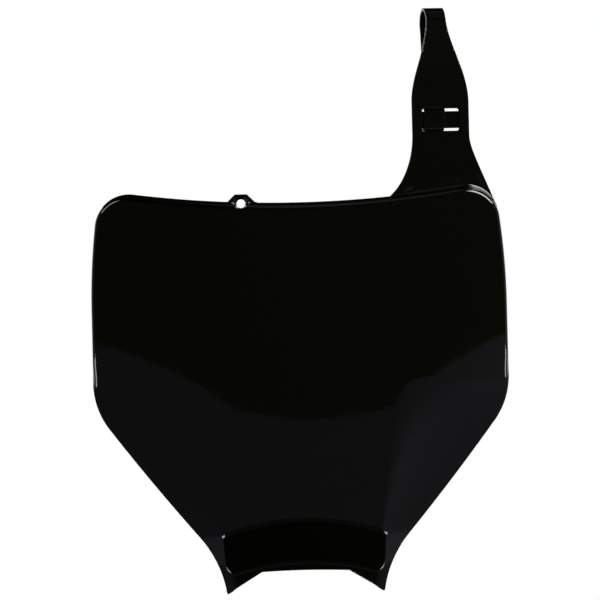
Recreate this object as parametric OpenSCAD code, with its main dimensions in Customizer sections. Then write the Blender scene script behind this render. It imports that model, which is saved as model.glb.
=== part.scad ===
// Racing number board: one moulded piece in gloss plastic.
// X runs to the right as seen from the front, the face looks along -Y, and Z is up.
// The origin lies on the middle of the lip at the foot of the neck, in the plane
// that touches the face.

/* [Panel outline] */
// Width across the rolled sides
panel_w = 250.4; // [225:0.1:280]
// Height of the middle of the top edge above the lip
panel_h = 219.1; // [205:0.1:245]
// Radius of the hollow top edge
top_edge_r = 672; // [450:1:1200]
// Radius of the upper corners
corner_r = 21; // [15:0.5:28]
// How far the upper corners stand inside the widest part
corner_in = 3.1; // [1.5:0.1:6]
// Radius of the slightly bowed upper sides
side_r = 420; // [300:5:700]
// Height at which the sides start to turn in to the neck
shoulder_z = 113; // [100:1:130]
// Radius of the shoulders
shoulder_r = 47; // [30:1:60]
// How far the sloping edges bow out of a straight line
slope_bow = 0.8; // [0:0.1:2]

/* [Face] */
// Radius of the face about an upright axis
face_r = 420; // [320:5:700]
// Wall of the panel
wall = 2.2; // [1.8:0.1:2.8]
// Half distance between the creases where they fade out
crease_top_x = 66; // [56:1:76]
// Height at which the creases fade out
crease_top_z = 111; // [95:1:130]
// Half distance between the creases at the neck
crease_low_x = 47.5; // [42:0.5:52]
// Height from which the creases run straight down
crease_low_z = 20; // [12:1:30]
// Half width of the rounded crease where it fades out
crease_soft_top = 8; // [5:0.5:12]
// Half width of the rounded crease at the neck
crease_soft_low = 2; // [1.6:0.1:4]
// Extra backward sweep of the wings beside the neck, degrees
wing_sweep = 33; // [15:1:42]
// Further sweep of the wings at the prongs, degrees
prong_sweep = 25; // [5:1:35]

/* [Neck] */
// Width across the points of the prongs
prong_w = 94.2; // [87:0.1:101]
// How far the prongs reach below the lip
prong_drop = 13.5; // [9:0.5:18]
// Direction of the neck's outer edge at the prongs, degrees from upright
prong_lean = 11; // [6:1:18]
// Radius of the hollow outer edge of the neck
neck_r = 70; // [60:1:88]
// Width of the straight lip
lip_w = 52; // [40:1:60]
// How far the middle of the lip arches above its ends
lip_arch = 0.7; // [0.2:0.1:2]
// Width of the wall beside each crease at the prongs
neck_wall_w = 5; // [4:0.1:6]
// Forward lean of the chin above the lip, degrees
chin_lean = 15; // [5:1:25]
// Height at which the chin starts to lean forward
chin_top_z = 27; // [22:0.5:32]
// Height at which the lip is upright again
chin_low_z = 5; // [3:0.5:8]
// How far both bends of the chin drop towards the creases
chin_arch = 8; // [4:0.5:11]

/* [Rim] */
// Depth of the rim behind the edge of the face
rim_d = 6; // [4.5:0.1:8]
// Outer radius of the roll between face and rim
roll_r = 3; // [2.6:0.1:3.4]
// Lean of the top rim from the plane of the face, degrees
rim_lean_top = 68; // [60:1:80]
// Lean of the side rims from the plane of the face, degrees
rim_lean_side = 86; // [82:1:89]
// Height below which the side rims have run out
rim_end_z = 96; // [85:1:105]
// Height over which the side rims fade in
rim_fade = 30; // [20:1:40]
// Width of the plain edge below the side rims
edge_w = 0.6; // [0.4:0.1:1]

/* [Strap] */
// Distance of the strap's middle line from the panel's
strap_x = 87.7; // [80:0.1:92]
// Width of the strap at its window
strap_w = 35.1; // [32:0.1:38]
// Wall of the strap
strap_t = 1.8; // [1.5:0.1:2.1]
// Radius of the hollow bend between rim and strap
foot_r = 2; // [1.5:0.1:3]
// Distance of the strap's left root from the panel's middle line
root_x = 56.3; // [52:0.1:60]
// Angle on the upper corner at which the strap's right edge starts, degrees
root_angle = 22; // [15:1:30]
// Direction in which the strap's left edge leaves the top rim, degrees
root_lean = 40; // [30:1:55]
// Height at which the flare of the root has ended
flare_top_z = 257.6; // [252:0.1:258.2]
// Height at which the strap starts to taper
taper_z = 277.5; // [275:0.5:284]
// Height at which the strap leans back towards its loop
loop_bend_z = 300; // [296:0.5:304]
// Backward lean of the strap below the loop, degrees
loop_lean = 12; // [6:0.5:14]
// Height of the top of the loop
loop_top_z = 334.4; // [325:0.1:345]
// Width of the strap over the loop
loop_w = 12; // [10:0.1:16]
// Inner radius of the loop, the seat on the handlebar brace
loop_r = 8; // [7:0.1:9.5]

/* [Buckle] */
// Width of the window
window_w = 22.5; // [19:0.1:24]
// Height of the window
window_h = 13.4; // [12.4:0.1:15]
// Height of the window's middle
window_z = 266.6; // [266:0.1:268]
// Corner radius of the window
window_r = 1.2; // [0.5:0.1:2]
// Height of each slit between the window's edge and the keeper bar
slit_h = 2; // [1.9:0.1:2.4]
// Thickness of the keeper bar
bar_t = 1.8; // [1.4:0.1:2.4]
// How far the keeper bar overlaps the strap beside the window
bar_lap = 2.4; // [1.5:0.1:3]
// Width of the tail in the window
tail_w = 13.4; // [10:0.1:14]
// Thickness of the tail where it is threaded
tail_t = 1.2; // [0.9:0.1:1.3]
// Distance of the tail's middle line in the window from the strap's
tail_shift = 3.9; // [2:0.1:4]
// Length of the tail below the window
tail_end = 12; // [10:0.5:22]

/* [Tab] */
// Distance of the tab from the panel's middle line, to the left
tab_x = 33.4; // [25:0.1:42]
// Height of the tab above the top edge of the panel
tab_h = 4.6; // [4:0.1:6]
// Width of the tab at its foot
tab_w = 17.5; // [15:0.1:20]
// Width of the tab's flat top
tab_top_w = 5.6; // [4:0.1:7]
// Thickness of the tab
tab_t = 2.8; // [2.4:0.1:3.2]
// Diameter of the through hole
tab_hole_d = 5.2; // [4:0.1:5.6]
// Diameter of the seat let into the rim in front of the hole
tab_seat_d = 7.2; // [6.6:0.1:7.6]
// Distance of the hole's middle below the top of the tab
tab_hole_drop = 5.6; // [5:0.1:6.2]

/* [Hidden] */
$fn = 96;

// Numbers of grid cells over half the face, from the middle line outwards
lip_cells = 5;
side_cells = 3;
crease_cells = 3;
outer_cells = 3;
corner_top_cells = 5;
half_cells = lip_cells + side_cells + crease_cells + outer_cells + corner_top_cells;
// Numbers of grid cells up the side of the face, from the prong to the upper corner
neck_cells = 8;
slope_cells = 7;
shoulder_cells = 5;
upright_cells = 3;
bow_cells = 3;
corner_low_cells = 2;
corner_mid_cells = 3;
side_rows = neck_cells + slope_cells + shoulder_cells + upright_cells + bow_cells
    + corner_low_cells + corner_mid_cells;
// Numbers of cells across the rolled edge, the foot bend and the strap's root
roll_cells = 4;
foot_cells = 3;
root_cells = 7;

half_w = panel_w / 2;
edge_turn = 5;
seat_gap = 0.25;
join_lap = 2.5;
window_gap = 0.4;
join_inset = 0.04;

// Plain helpers
function mix(a, b, t) = a + (b - a) * t;
function clamp01(t) = min(1, max(0, t));
function ease(t) = let (s = clamp01(t)) s * s * (3 - 2 * s);
function softmin(a, b, k) = (a + b - sqrt(pow(a - b, 2) + k * k)) / 2;
// The positive part of d, rounded between -e and e
function ramp(d, e) = d <= -e ? 0 : d >= e ? d : pow(d + e, 2) / (4 * e);
function unit(v) = v / norm(v);
function turn(a) = [cos(a), sin(a)];

// Centres of the outline's arcs, as [x, z]
corner_x = half_w - corner_in - corner_r;
top_c = [0, panel_h + top_edge_r];
corner_c = [corner_x, top_c[1] - sqrt(pow(top_edge_r + corner_r, 2) - corner_x * corner_x)];
bow_run = side_r - corner_r;
bow_c = [half_w - side_r, corner_c[1] - sqrt(bow_run * bow_run - pow(bow_run - corner_in, 2))];
shoulder_c = [half_w - shoulder_r, shoulder_z];
prong = [prong_w / 2, -prong_drop];
neck_c = prong + neck_r * turn(-prong_lean);

// Directions in which those arcs meet, degrees
corner_low_a = asin((corner_c[1] - bow_c[1]) / bow_run);
corner_top_a = 90 + asin(corner_x / (top_edge_r + corner_r));
corner_mid_a = 52;
neck_run = neck_c - shoulder_c;
slope_a = -atan2(neck_run[1], neck_run[0]) - acos((shoulder_r + neck_r) / norm(neck_run));

// The face: how far a point of its front lies behind the foremost line
function sag(x) = face_r - sqrt(face_r * face_r - x * x);
function neck_edge_x(z) = neck_c[0] - sqrt(max(1, neck_r * neck_r - pow(z - neck_c[1], 2)));
crease_splay = (crease_top_x - crease_low_x) / (crease_top_z - crease_low_z);
function crease_x(z) = let (
        up = ramp(min(z, crease_top_z) - crease_low_z, 5),
        straight = crease_low_x + crease_splay * up
    )
    z > crease_low_z + 10 ? straight : softmin(straight, neck_edge_x(z) - neck_wall_w, 1);
function crease_soft(z) =
    mix(crease_soft_low, crease_soft_top, clamp01((z - crease_low_z) / (crease_top_z - crease_low_z)));
function wing_slope(z) = let (
        down = clamp01((crease_top_z - z) / (crease_top_z - crease_low_z)),
        low = ease((crease_low_z - z) / (crease_low_z + prong_drop))
    )
    tan(wing_sweep) * pow(down, 1.3) + tan(prong_sweep) * low;
function chin(x, z) = let (
        across = min(abs(x), crease_x(z)) / crease_low_x,
        drop = chin_arch * across * across
    )
    tan(chin_lean) * (ramp(chin_top_z - drop - z, 3) - ramp(chin_low_z - drop - z, 1.5));
function face_y(x, z) =
    sag(x) + wing_slope(z) * ramp(abs(x) - crease_x(z), crease_soft(z)) - chin(x, z);
// Slopes of the face along X and Z, and its outward normal
function face_slope(p) = let (h = 0.05) [
        (face_y(p[0] + h, p[1]) - face_y(p[0] - h, p[1])) / (2 * h),
        (face_y(p[0], p[1] + h) - face_y(p[0], p[1] - h)) / (2 * h)
    ];
function face_normal(p) = let (s = face_slope(p)) unit([s[0], -1, s[1]]);
function on_face(p) = [p[0], face_y(p[0], p[1]), p[1]];

// The outline's right half, each entry [point, outward direction]
function arc_nodes(c, r, a0, a1, n, first = 1) =
    [for (i = [first:n]) let (d = turn(mix(a0, a1, i / n))) [c + r * d, d]];
function hollow_nodes(c, r, a0, a1, n, first = 1) =
    [for (i = [first:n]) let (d = turn(mix(a0, a1, i / n))) [c - r * d, d]];
slope_d = turn(-slope_a);
slope_low = neck_c - neck_r * slope_d;
slope_top = shoulder_c + shoulder_r * slope_d;
side_nodes = concat(
    hollow_nodes(neck_c, neck_r, -prong_lean, -slope_a, neck_cells, 0),
    [for (i = [1:slope_cells]) let (t = i / slope_cells)
        [mix(slope_low, slope_top, t) + slope_bow * 4 * t * (1 - t) * slope_d, slope_d]],
    arc_nodes(shoulder_c, shoulder_r, -slope_a, 0, shoulder_cells),
    [for (i = [1:upright_cells]) [[half_w, mix(shoulder_z, bow_c[1], i / upright_cells)], [1, 0]]],
    arc_nodes(bow_c, side_r, 0, corner_low_a, bow_cells),
    arc_nodes(corner_c, corner_r, corner_low_a, root_angle, corner_low_cells),
    arc_nodes(corner_c, corner_r, root_angle, corner_mid_a, corner_mid_cells)
);
top_joint_x = corner_c[0] + corner_r * cos(corner_top_a);
// The cells of the crease end this far along the rest of the strap's root
root_mid_share = 0.42;
root_mid_x = mix(root_x, top_joint_x, root_mid_share);
function top_x(k) =
    k <= lip_cells + side_cells ? root_x * k / (lip_cells + side_cells)
    : k <= lip_cells + side_cells + crease_cells
        ? mix(root_x, root_mid_x, (k - lip_cells - side_cells) / crease_cells)
        : mix(root_mid_x, top_joint_x,
            (k - lip_cells - side_cells - crease_cells) / outer_cells);
top_flat_cells = half_cells - corner_top_cells;
top_nodes = concat(
    [for (k = [0:top_flat_cells]) let (
            x = top_x(k),
            p = [x, top_c[1] - sqrt(top_edge_r * top_edge_r - x * x)]
        ) [p, unit(top_c - p)]],
    arc_nodes(corner_c, corner_r, corner_top_a, corner_mid_a, corner_top_cells)
);
lip_end = [lip_w / 2, -lip_arch];
notch_d = let (v = unit(prong - lip_end)) [v[1], -v[0]];
prong_crease = [crease_x(-prong_drop) - crease_soft_low, crease_x(-prong_drop) + crease_soft_low];
function notch_x(k) = let (
        a = lip_cells + side_cells,
        b = a + crease_cells
    )
    k <= a ? mix(lip_end[0], prong_crease[0], (k - lip_cells) / side_cells)
    : k <= b ? mix(prong_crease[0], prong_crease[1], (k - a) / crease_cells)
    : mix(prong_crease[1], prong[0], (k - b) / (half_cells - b));
// A corner's offset direction is lengthened, so that both of its edges move in alike
function miter(a, b) = let (m = unit(a + b)) m / (m * a);
bottom_nodes = [for (k = [0:half_cells])
    k < lip_cells ? let (x = lip_end[0] * k / lip_cells) [[x, -lip_arch * pow(k / lip_cells, 2)], [0, -1]]
    : k == lip_cells ? [lip_end, miter([0, -1], notch_d)]
    : k < half_cells ? let (x = notch_x(k), t = (x - lip_end[0]) / (prong[0] - lip_end[0]))
        [mix(lip_end, prong, t), notch_d]
    : [prong, miter(notch_d, side_nodes[0][1])]];

// The rolled edge at one outline node: [direction, start angle, end angle, flange length]
function rim_share(p) = p[1] > rim_end_z + rim_fade ? 1 : ease((p[1] - rim_end_z) / rim_fade);
function rim_at(nd) = let (
        p = nd[0],
        m = unit(nd[1]),
        start = atan(face_slope(p) * m),
        full = mix(rim_lean_side, rim_lean_top, pow(max(0, m[1]), 2)),
        share = rim_share(p),
        end = mix(start + edge_turn, full, share),
        long = (rim_d - roll_r * (cos(start) - cos(full))) / sin(full)
    ) [nd[1], start, end, mix(edge_w, long, share)];
function rim_reach(r) = roll_r * (sin(r[2]) - sin(r[1])) + r[3] * cos(r[2]);
// The edge of the face itself lies inside the outline by the reach of its rim
function inset(nd) = nd[0] - rim_reach(rim_at(nd)) * nd[1];
side_in = [for (nd = side_nodes) inset(nd)];
top_in = [for (nd = top_nodes) inset(nd)];
bottom_in = [for (nd = bottom_nodes) inset(nd)];

// Grid of the face's right half: columns follow the creases, rows follow the edges
low_fade_h = 120;
top_fade_h = 60;
function low_share(j) = pow(clamp01(1 - (side_in[j][1] - side_in[0][1]) / low_fade_h), 2);
function top_share(j) = pow(clamp01(1 - (side_in[side_rows][1] - side_in[j][1]) / top_fade_h), 2);
function column_x(k, j) = let (
        edge = side_in[j],
        c = crease_x(edge[1]),
        e = crease_soft(edge[1]),
        a = lip_cells + side_cells,
        b = a + crease_cells,
        t = (k - b) / (half_cells - b)
    )
    k <= a ? (c - e) * k / a
    : k <= b ? mix(c - e, c + e, (k - a) / crease_cells)
    : mix(c + e, edge[0], t * (1.4 - 0.4 * t));
function half_node(k, j) = let (
        low = low_share(j),
        top = top_share(j),
        edge = side_in[j],
        plain = column_x(k, j),
        from_low = bottom_in[k][0] * edge[0] / bottom_in[half_cells][0],
        from_top = top_in[k][0] * edge[0] / top_in[half_cells][0],
        x = j == 0 ? bottom_in[k][0]
            : j == side_rows ? top_in[k][0]
            : plain + pow(low, 4) * (from_low - plain) + top * (from_top - plain),
        z = edge[1] + low * (bottom_in[k][1] - bottom_in[half_cells][1])
            + top * (top_in[k][1] - top_in[half_cells][1])
    ) [x, z];
across = 2 * half_cells;
function grid_node(c, j) = let (h = half_node(abs(c - half_cells), j))
    [c < half_cells ? -h[0] : h[0], h[1]];
grid = [for (j = [0:side_rows]) [for (c = [0:across]) grid_node(c, j)]];

// The edge loop, anticlockwise from the left prong as seen from the front
function mirrored(nd) = [[-nd[0][0], nd[0][1]], [-nd[1][0], nd[1][1]]];
function both_halves(nodes, c) = c < half_cells ? mirrored(nodes[half_cells - c]) : nodes[c - half_cells];
loop_nodes = concat(
    [for (c = [0:across]) both_halves(bottom_nodes, c)],
    [for (j = [1:side_rows]) side_nodes[j]],
    [for (c = [across - 1:-1:0]) both_halves(top_nodes, c)],
    [for (j = [side_rows - 1:-1:1]) mirrored(side_nodes[j])]
);
loop_grid = concat(
    [for (c = [0:across]) [c, 0]],
    [for (j = [1:side_rows]) [across, j]],
    [for (c = [across - 1:-1:0]) [c, side_rows]],
    [for (j = [side_rows - 1:-1:1]) [0, j]]
);
loop_len = len(loop_nodes);
rims = [for (nd = loop_nodes) rim_at(nd)];
// The part of the loop that carries the strap, from its right root to its left one
root_first = across + side_rows - corner_mid_cells;
root_last = across + side_rows + corner_top_cells + outer_cells + crease_cells;
root_len = root_last - root_first;

// A point beyond the face's edge: out along the outline's direction, back along Y
function beyond(i, out, back) = let (
        g = loop_grid[i],
        p = grid[g[1]][g[0]],
        m = rims[i][0]
    ) on_face(p) + [out * m[0], back, out * m[1]];
function bent_normal(i, a) = let (m = rims[i][0]) [sin(a) * m[0], -cos(a), sin(a) * m[1]];
function roll_point(i, a) =
    beyond(i, roll_r * (sin(a) - sin(rims[i][1])), roll_r * (cos(rims[i][1]) - cos(a)));
function rim_end_point(i) = let (a = rims[i][2])
    roll_point(i, a) + rims[i][3] * [cos(a) * rims[i][0][0], sin(a), cos(a) * rims[i][0][1]];

// The strap's plane, turned with the face, and its frame
strap_turn = asin(strap_x / face_r);
strap_back = rim_d + foot_r * (1 - cos(rim_lean_top));
strap_y = sag(strap_x) + strap_back;
function strap_plane_y(x) = strap_y + tan(strap_turn) * (x - strap_x);
strap_normal = [sin(strap_turn), -cos(strap_turn), 0];

// The hollow foot bend, which dies out at both roots
function foot_radius(s) = foot_r * mix(0.1, 1, ease(s / (corner_mid_cells + 1)))
    * mix(0.1, 1, ease((root_len - s) / crease_cells));
function foot_stop(i) = atan(tan(strap_turn) * rims[i][0][0]);
function foot_point(s, q) = let (
        i = root_first + s,
        r = foot_radius(s),
        a0 = rims[i][2],
        a = mix(a0, foot_stop(i), q / foot_cells),
        m = rims[i][0],
        out = r * (sin(a0) - sin(a)),
        back = r * (cos(a) - cos(a0))
    ) rim_end_point(i) + [out * m[0], back, out * m[1]];
function foot_normal(s, q) = let (i = root_first + s)
    bent_normal(i, mix(rims[i][2], foot_stop(i), q / foot_cells));

// The root of the strap: each row runs between two curved edges
function bezier(a, b, c, d, t) =
    pow(1 - t, 3) * a + 3 * t * pow(1 - t, 2) * b + 3 * t * t * (1 - t) * c + pow(t, 3) * d;
window_top = window_z + window_h / 2;
window_low = window_z - window_h / 2;
join_z = min(flare_top_z + join_lap, window_low - window_gap);
root_foot = [for (s = [0:root_len]) foot_point(s, foot_cells)];
function strap_edge_x(side) = strap_x + side * (strap_w / 2 - join_inset) * cos(strap_turn);
function flare(side, t) = let (
        f = root_foot[side > 0 ? 0 : root_len],
        start = [f[0], f[2]],
        end = [strap_edge_x(side), flare_top_z],
        tall = end[1] - start[1],
        lean = side > 0 ? turn(90 + root_angle) : turn(root_lean),
        near = side > 0 ? 0.69 : 0.28,
        far = side > 0 ? 0.18 : 0.42
    ) bezier(start, start + tall * near * lean, end - [0, tall * far], end, t);
function root_xz(s, r) = let (
        u = s / root_len,
        t = r / (root_cells - 1),
        base = [root_foot[s][0], root_foot[s][2]],
        right = [root_foot[0][0], root_foot[0][2]],
        left = [root_foot[root_len][0], root_foot[root_len][2]]
    )
    r == root_cells ? [mix(strap_edge_x(1), strap_edge_x(-1), u), join_z]
    : mix(flare(1, t), flare(-1, t), u) + pow(1 - t, 2) * (base - mix(right, left, u));
function root_point(s, r) = let (
        p = root_xz(s, r),
        t = clamp01(r / (root_cells - 1)),
        lift = root_foot[s][1] - strap_plane_y(root_foot[s][0]),
        inset_y = r >= root_cells - 1 ? join_inset : 0
    ) [p[0], strap_plane_y(p[0]) + pow(1 - t, 2) * lift + inset_y, p[1]];
function root_wall(r) = mix(wall, strap_t - 2 * join_inset, ease(r / (root_cells - 1)));
function root_normal(s, r) = let (t = clamp01(r / (root_cells - 1)))
    unit(mix(foot_normal(s, foot_cells), strap_normal, ease(t)));

// Points of the front skin, then those of the back skin, one wall behind
rim_rings = roll_cells + 1;
skin = concat(
    [for (row = grid) for (p = row) [on_face(p), wall * face_normal(p)]],
    [for (k = [1:roll_cells]) for (i = [0:loop_len - 1]) let (a = mix(rims[i][1], rims[i][2], k / roll_cells))
        [roll_point(i, a), wall * bent_normal(i, a)]],
    [for (i = [0:loop_len - 1]) [rim_end_point(i), wall * bent_normal(i, rims[i][2])]],
    [for (q = [1:foot_cells]) for (s = [0:root_len]) [foot_point(s, q), wall * foot_normal(s, q)]],
    [for (r = [1:root_cells]) for (s = [0:root_len]) [root_point(s, r), root_wall(r) * root_normal(s, r)]]
);
skin_len = len(skin);
shell_points = concat([for (v = skin) v[0]], [for (v = skin) v[0] - v[1]]);

grid_len = (across + 1) * (side_rows + 1);
function grid_index(c, j) = j * (across + 1) + c;
function ring_index(k, i) = let (w = i % loop_len)
    k == 0 ? grid_index(loop_grid[w][0], loop_grid[w][1]) : grid_len + (k - 1) * loop_len + w;
root_rows = foot_cells + root_cells;
function root_index(q, s) =
    q == 0 ? ring_index(rim_rings, root_first + s)
    : grid_len + rim_rings * loop_len + (q - 1) * (root_len + 1) + s;
// A four-sided cell becomes two triangles, cut along its shorter diagonal
function cell(a, b, c, d) =
    norm(shell_points[a] - shell_points[c]) <= norm(shell_points[b] - shell_points[d])
        ? [[a, b, c], [a, c, d]] : [[a, b, d], [b, c, d]];
front_faces = [
    for (j = [0:side_rows - 1]) for (c = [0:across - 1])
        each cell(grid_index(c, j), grid_index(c, j + 1), grid_index(c + 1, j + 1), grid_index(c + 1, j)),
    for (k = [0:rim_rings - 1]) for (i = [0:loop_len - 1])
        each cell(ring_index(k, i), ring_index(k, i + 1), ring_index(k + 1, i + 1), ring_index(k + 1, i)),
    for (q = [0:root_rows - 1]) for (s = [0:root_len - 1])
        each cell(root_index(q, s), root_index(q, s + 1), root_index(q + 1, s + 1), root_index(q + 1, s))
];
back_faces = [for (f = front_faces) [f[2] + skin_len, f[1] + skin_len, f[0] + skin_len]];
// The open edge runs along the rim, and round the strap's root
edge_path = concat(
    [for (i = [root_last:root_first + loop_len]) ring_index(rim_rings, i)],
    [for (q = [1:root_rows]) root_index(q, 0)],
    [for (s = [1:root_len]) root_index(root_rows, s)],
    [for (q = [root_rows - 1:-1:1]) root_index(q, root_len)]
);
edge_faces = [for (i = [0:len(edge_path) - 1]) let (
        a = edge_path[i],
        b = edge_path[(i + 1) % len(edge_path)]
    ) each cell(a, b, b + skin_len, a + skin_len)];

// The panel with its rim, its neck and the root of the strap
module panel_shell() {
    polyhedron(points = shell_points, faces = concat(front_faces, back_faces, edge_faces));
}

// The strap is drawn flat in its own frame: X across, Y back from its front, Z up
plate_low_z = flare_top_z - 0.5;
loop_out_r = loop_r + strap_t;
loop_mid_r = loop_r + strap_t / 2;
loop_z = loop_top_z - loop_out_r;
loop_c = [loop_out_r / cos(loop_lean) + (loop_z - loop_bend_z) * tan(loop_lean), loop_z];
loop_back_y = loop_c[0] + loop_out_r + 1;
loop_full_z = loop_top_z - 5;
bar_top = window_top - slit_h;
bar_low = window_low + slit_h;

// The tail's middle line in side view, as [back, up]: it leaves the loop at a tangent,
// runs down behind the strap, comes forward through the upper slit, passes in front of
// the keeper bar and goes back through the lower slit
tail_behind = strap_t + seat_gap + tail_t / 2;
tail_inside = strap_t - seat_gap - tail_t / 2;
weave_a = 72;
weave_r = (tail_behind - tail_inside) / (2 * (1 - cos(weave_a)));
weave_h = weave_r * sin(weave_a);
slit_top_z = window_top - slit_h / 2;
slit_low_z = window_low + slit_h / 2;
bend_r = 12;
bend_c = [tail_behind + bend_r, slit_top_z + weave_h + 1];
loop_run = loop_c - bend_c;
run_lean = atan2(loop_run[0], loop_run[1]) + asin((bend_r + loop_mid_r) / norm(loop_run));
tail_low_z = window_low - tail_end;

// Each entry of a side view is [point, direction of one face, thickness]
function bend_nodes(c, r, a0, a1, n, t = tail_t) =
    [for (i = [0:n]) let (d = turn(mix(a0, a1, i / n))) [c + r * d, d, t]];
// A leg ends a little inside the loop that it meets at a tangent
function loop_entry(a, along) =
    [loop_c + loop_mid_r * turn(a) + loop_entry_h * turn(along), turn(a), strap_t - 2 * join_inset];
loop_entry_h = 0.6;
leg_bend_r = 60;
leg_bend_c = [leg_bend_r + strap_t / 2, loop_bend_z - (leg_bend_r + strap_t / 2) * tan(loop_lean / 2)];
leg_line = concat(
    [[[strap_t / 2, plate_low_z], [-1, 0], strap_t]],
    bend_nodes(leg_bend_c, leg_bend_r, 180, 180 - loop_lean, 5, strap_t),
    [loop_entry(180 - loop_lean, 90 - loop_lean)]
);
tail_line = concat(
    [loop_entry(-run_lean, 90 - run_lean)],
    bend_nodes(bend_c, -bend_r, -run_lean, 0, 4),
    bend_nodes([tail_behind - weave_r, slit_top_z + weave_h], weave_r, 0, -weave_a, 6),
    bend_nodes([tail_inside + weave_r, slit_top_z - weave_h], -weave_r, 5 - weave_a, 0, 6),
    bend_nodes([tail_inside + weave_r, slit_low_z + weave_h], -weave_r, 0, weave_a, 6),
    bend_nodes([tail_behind - weave_r, slit_low_z - weave_h], weave_r, weave_a - 5, 0, 6),
    [[[tail_behind, tail_low_z], [1, 0], tail_t]]
);
// The side view's outline: along one face and back along the other
function both_sides(line) = concat(
    [for (n = line) n[0] + n[2] / 2 * unit(n[1])],
    [for (i = [len(line) - 1:-1:0]) let (n = line[i]) n[0] - n[2] / 2 * unit(n[1])]
);

// Outlines as seen from the front
taper_steps = 16;
function taper_half(z) = mix(strap_w, loop_w, ease((z - taper_z) / (loop_full_z - taper_z))) / 2;
taper_edge = [for (i = [0:taper_steps]) let (z = mix(taper_z, loop_full_z, i / taper_steps))
    [taper_half(z), z]];
front_edge = concat([[strap_w / 2, plate_low_z - 1]], taper_edge, [[loop_w / 2, loop_top_z + 1]]);
front_last = len(front_edge) - 1;
front_outline = concat(front_edge,
    [for (i = [front_last:-1:0]) [-front_edge[i][0], front_edge[i][1]]]);

tail_round = 3;
tail_turn_z = loop_z - loop_mid_r / 2;
function tail_x(z) = -tail_shift * (tail_turn_z - z) / (tail_turn_z - window_z);
function tail_end_arc(side, a0, a1) = let (
        z = tail_low_z + tail_round,
        c = [tail_x(z) + side * (tail_w / 2 - tail_round), z]
    ) [for (i = [0:4]) c + tail_round * turn(mix(a0, a1, i / 4))];
tail_outline = concat(
    [[-loop_w / 2, tail_turn_z], [-loop_w / 2, loop_top_z + 2], [loop_w / 2, loop_top_z + 2],
        [loop_w / 2, tail_turn_z]],
    tail_end_arc(1, 0, -90), tail_end_arc(-1, -90, -180)
);

// Extrudes an outline given as [across, up], from one depth to another
module through(y0, y1) {
    translate([0, y1, 0]) rotate([90, 0, 0]) linear_extrude(y1 - y0) children();
}

// Extrudes a side view across the whole blank that the strap is cut from
blank_w = 2 * strap_w;
module side_view() {
    rotate([90, 0, 90]) linear_extrude(blank_w, center = true) children();
}

// The round of the loop, between its tangents to the front leg and to the tail
module loop_round() {
    intersection() {
        translate([0, loop_c[0], loop_c[1]]) rotate([0, 90, 0]) difference() {
            cylinder(r = loop_out_r, h = blank_w - 2, center = true);
            cylinder(r = loop_r, h = blank_w, center = true);
        }
        side_view() polygon([
            loop_c,
            loop_c + 2 * loop_out_r * turn(180 - loop_lean),
            [-loop_out_r, loop_top_z + 1],
            [loop_back_y, loop_top_z + 1],
            loop_c + 2 * loop_out_r * turn(-run_lean)
        ]);
    }
}
module rounded_window() {
    in_w = window_w / 2 - window_r;
    in_h = window_h / 2 - window_r;
    corners = [[in_w, in_h, 0], [-in_w, in_h, 90], [-in_w, -in_h, 180], [in_w, -in_h, 270]];
    polygon([for (c = corners) for (a = [0:15:90]) [c[0], c[1]] + window_r * turn(c[2] + a)]);
}
// The front leg tapers into the loop, whose rear part is as wide as the tail
module leg_and_loop() {
    difference() {
        intersection() {
            union() {
                side_view() polygon(both_sides(leg_line));
                loop_round();
            }
            union() {
                through(-1, loop_c[0]) polygon(front_outline);
                through(loop_c[0] - 1, loop_back_y) polygon(tail_outline);
            }
        }
        translate([0, 0, window_z]) through(-1, strap_t + 1) rounded_window();
    }
}
// The bar stands behind the window, its feet let into the strap on both sides
module keeper_bar() {
    out_x = window_w / 2 + bar_lap;
    foot_x = window_w / 2 + 0.3;
    foot_y = strap_t * 0.55;
    translate([0, 0, bar_low]) linear_extrude(bar_top - bar_low) polygon([
        [-out_x, foot_y], [-foot_x, foot_y], [-foot_x, strap_t], [foot_x, strap_t],
        [foot_x, foot_y], [out_x, foot_y], [out_x, strap_t + bar_t], [-out_x, strap_t + bar_t]
    ]);
}
module tail() {
    intersection() {
        side_view() polygon(both_sides(tail_line));
        through(-1, loop_back_y) polygon(tail_outline);
    }
}
module strap() {
    translate([strap_x, strap_y, 0]) rotate([0, 0, strap_turn]) {
        leg_and_loop();
        keeper_bar();
        tail();
    }
}

// The small tab stands on the top rim, on a solid foot behind the face
function top_edge_z(x) = top_c[1] - sqrt(top_edge_r * top_edge_r - x * x);
tab_y = sag(tab_x) + rim_d - 1.8;
tab_base_z = top_edge_z(tab_x - tab_w / 2);
tab_top_z = top_edge_z(tab_x) + tab_h;
tab_root_z = tab_base_z - 6;
tab_hole_z = tab_top_z - tab_hole_drop;
tab_corner_r = 2.2;
tab_corner_c = [tab_top_w / 2, tab_top_z - tab_corner_r];
tab_side = [tab_w / 2, tab_base_z] - tab_corner_c;
tab_side_a = atan2(tab_side[1], tab_side[0]) + acos(tab_corner_r / norm(tab_side));
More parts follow.
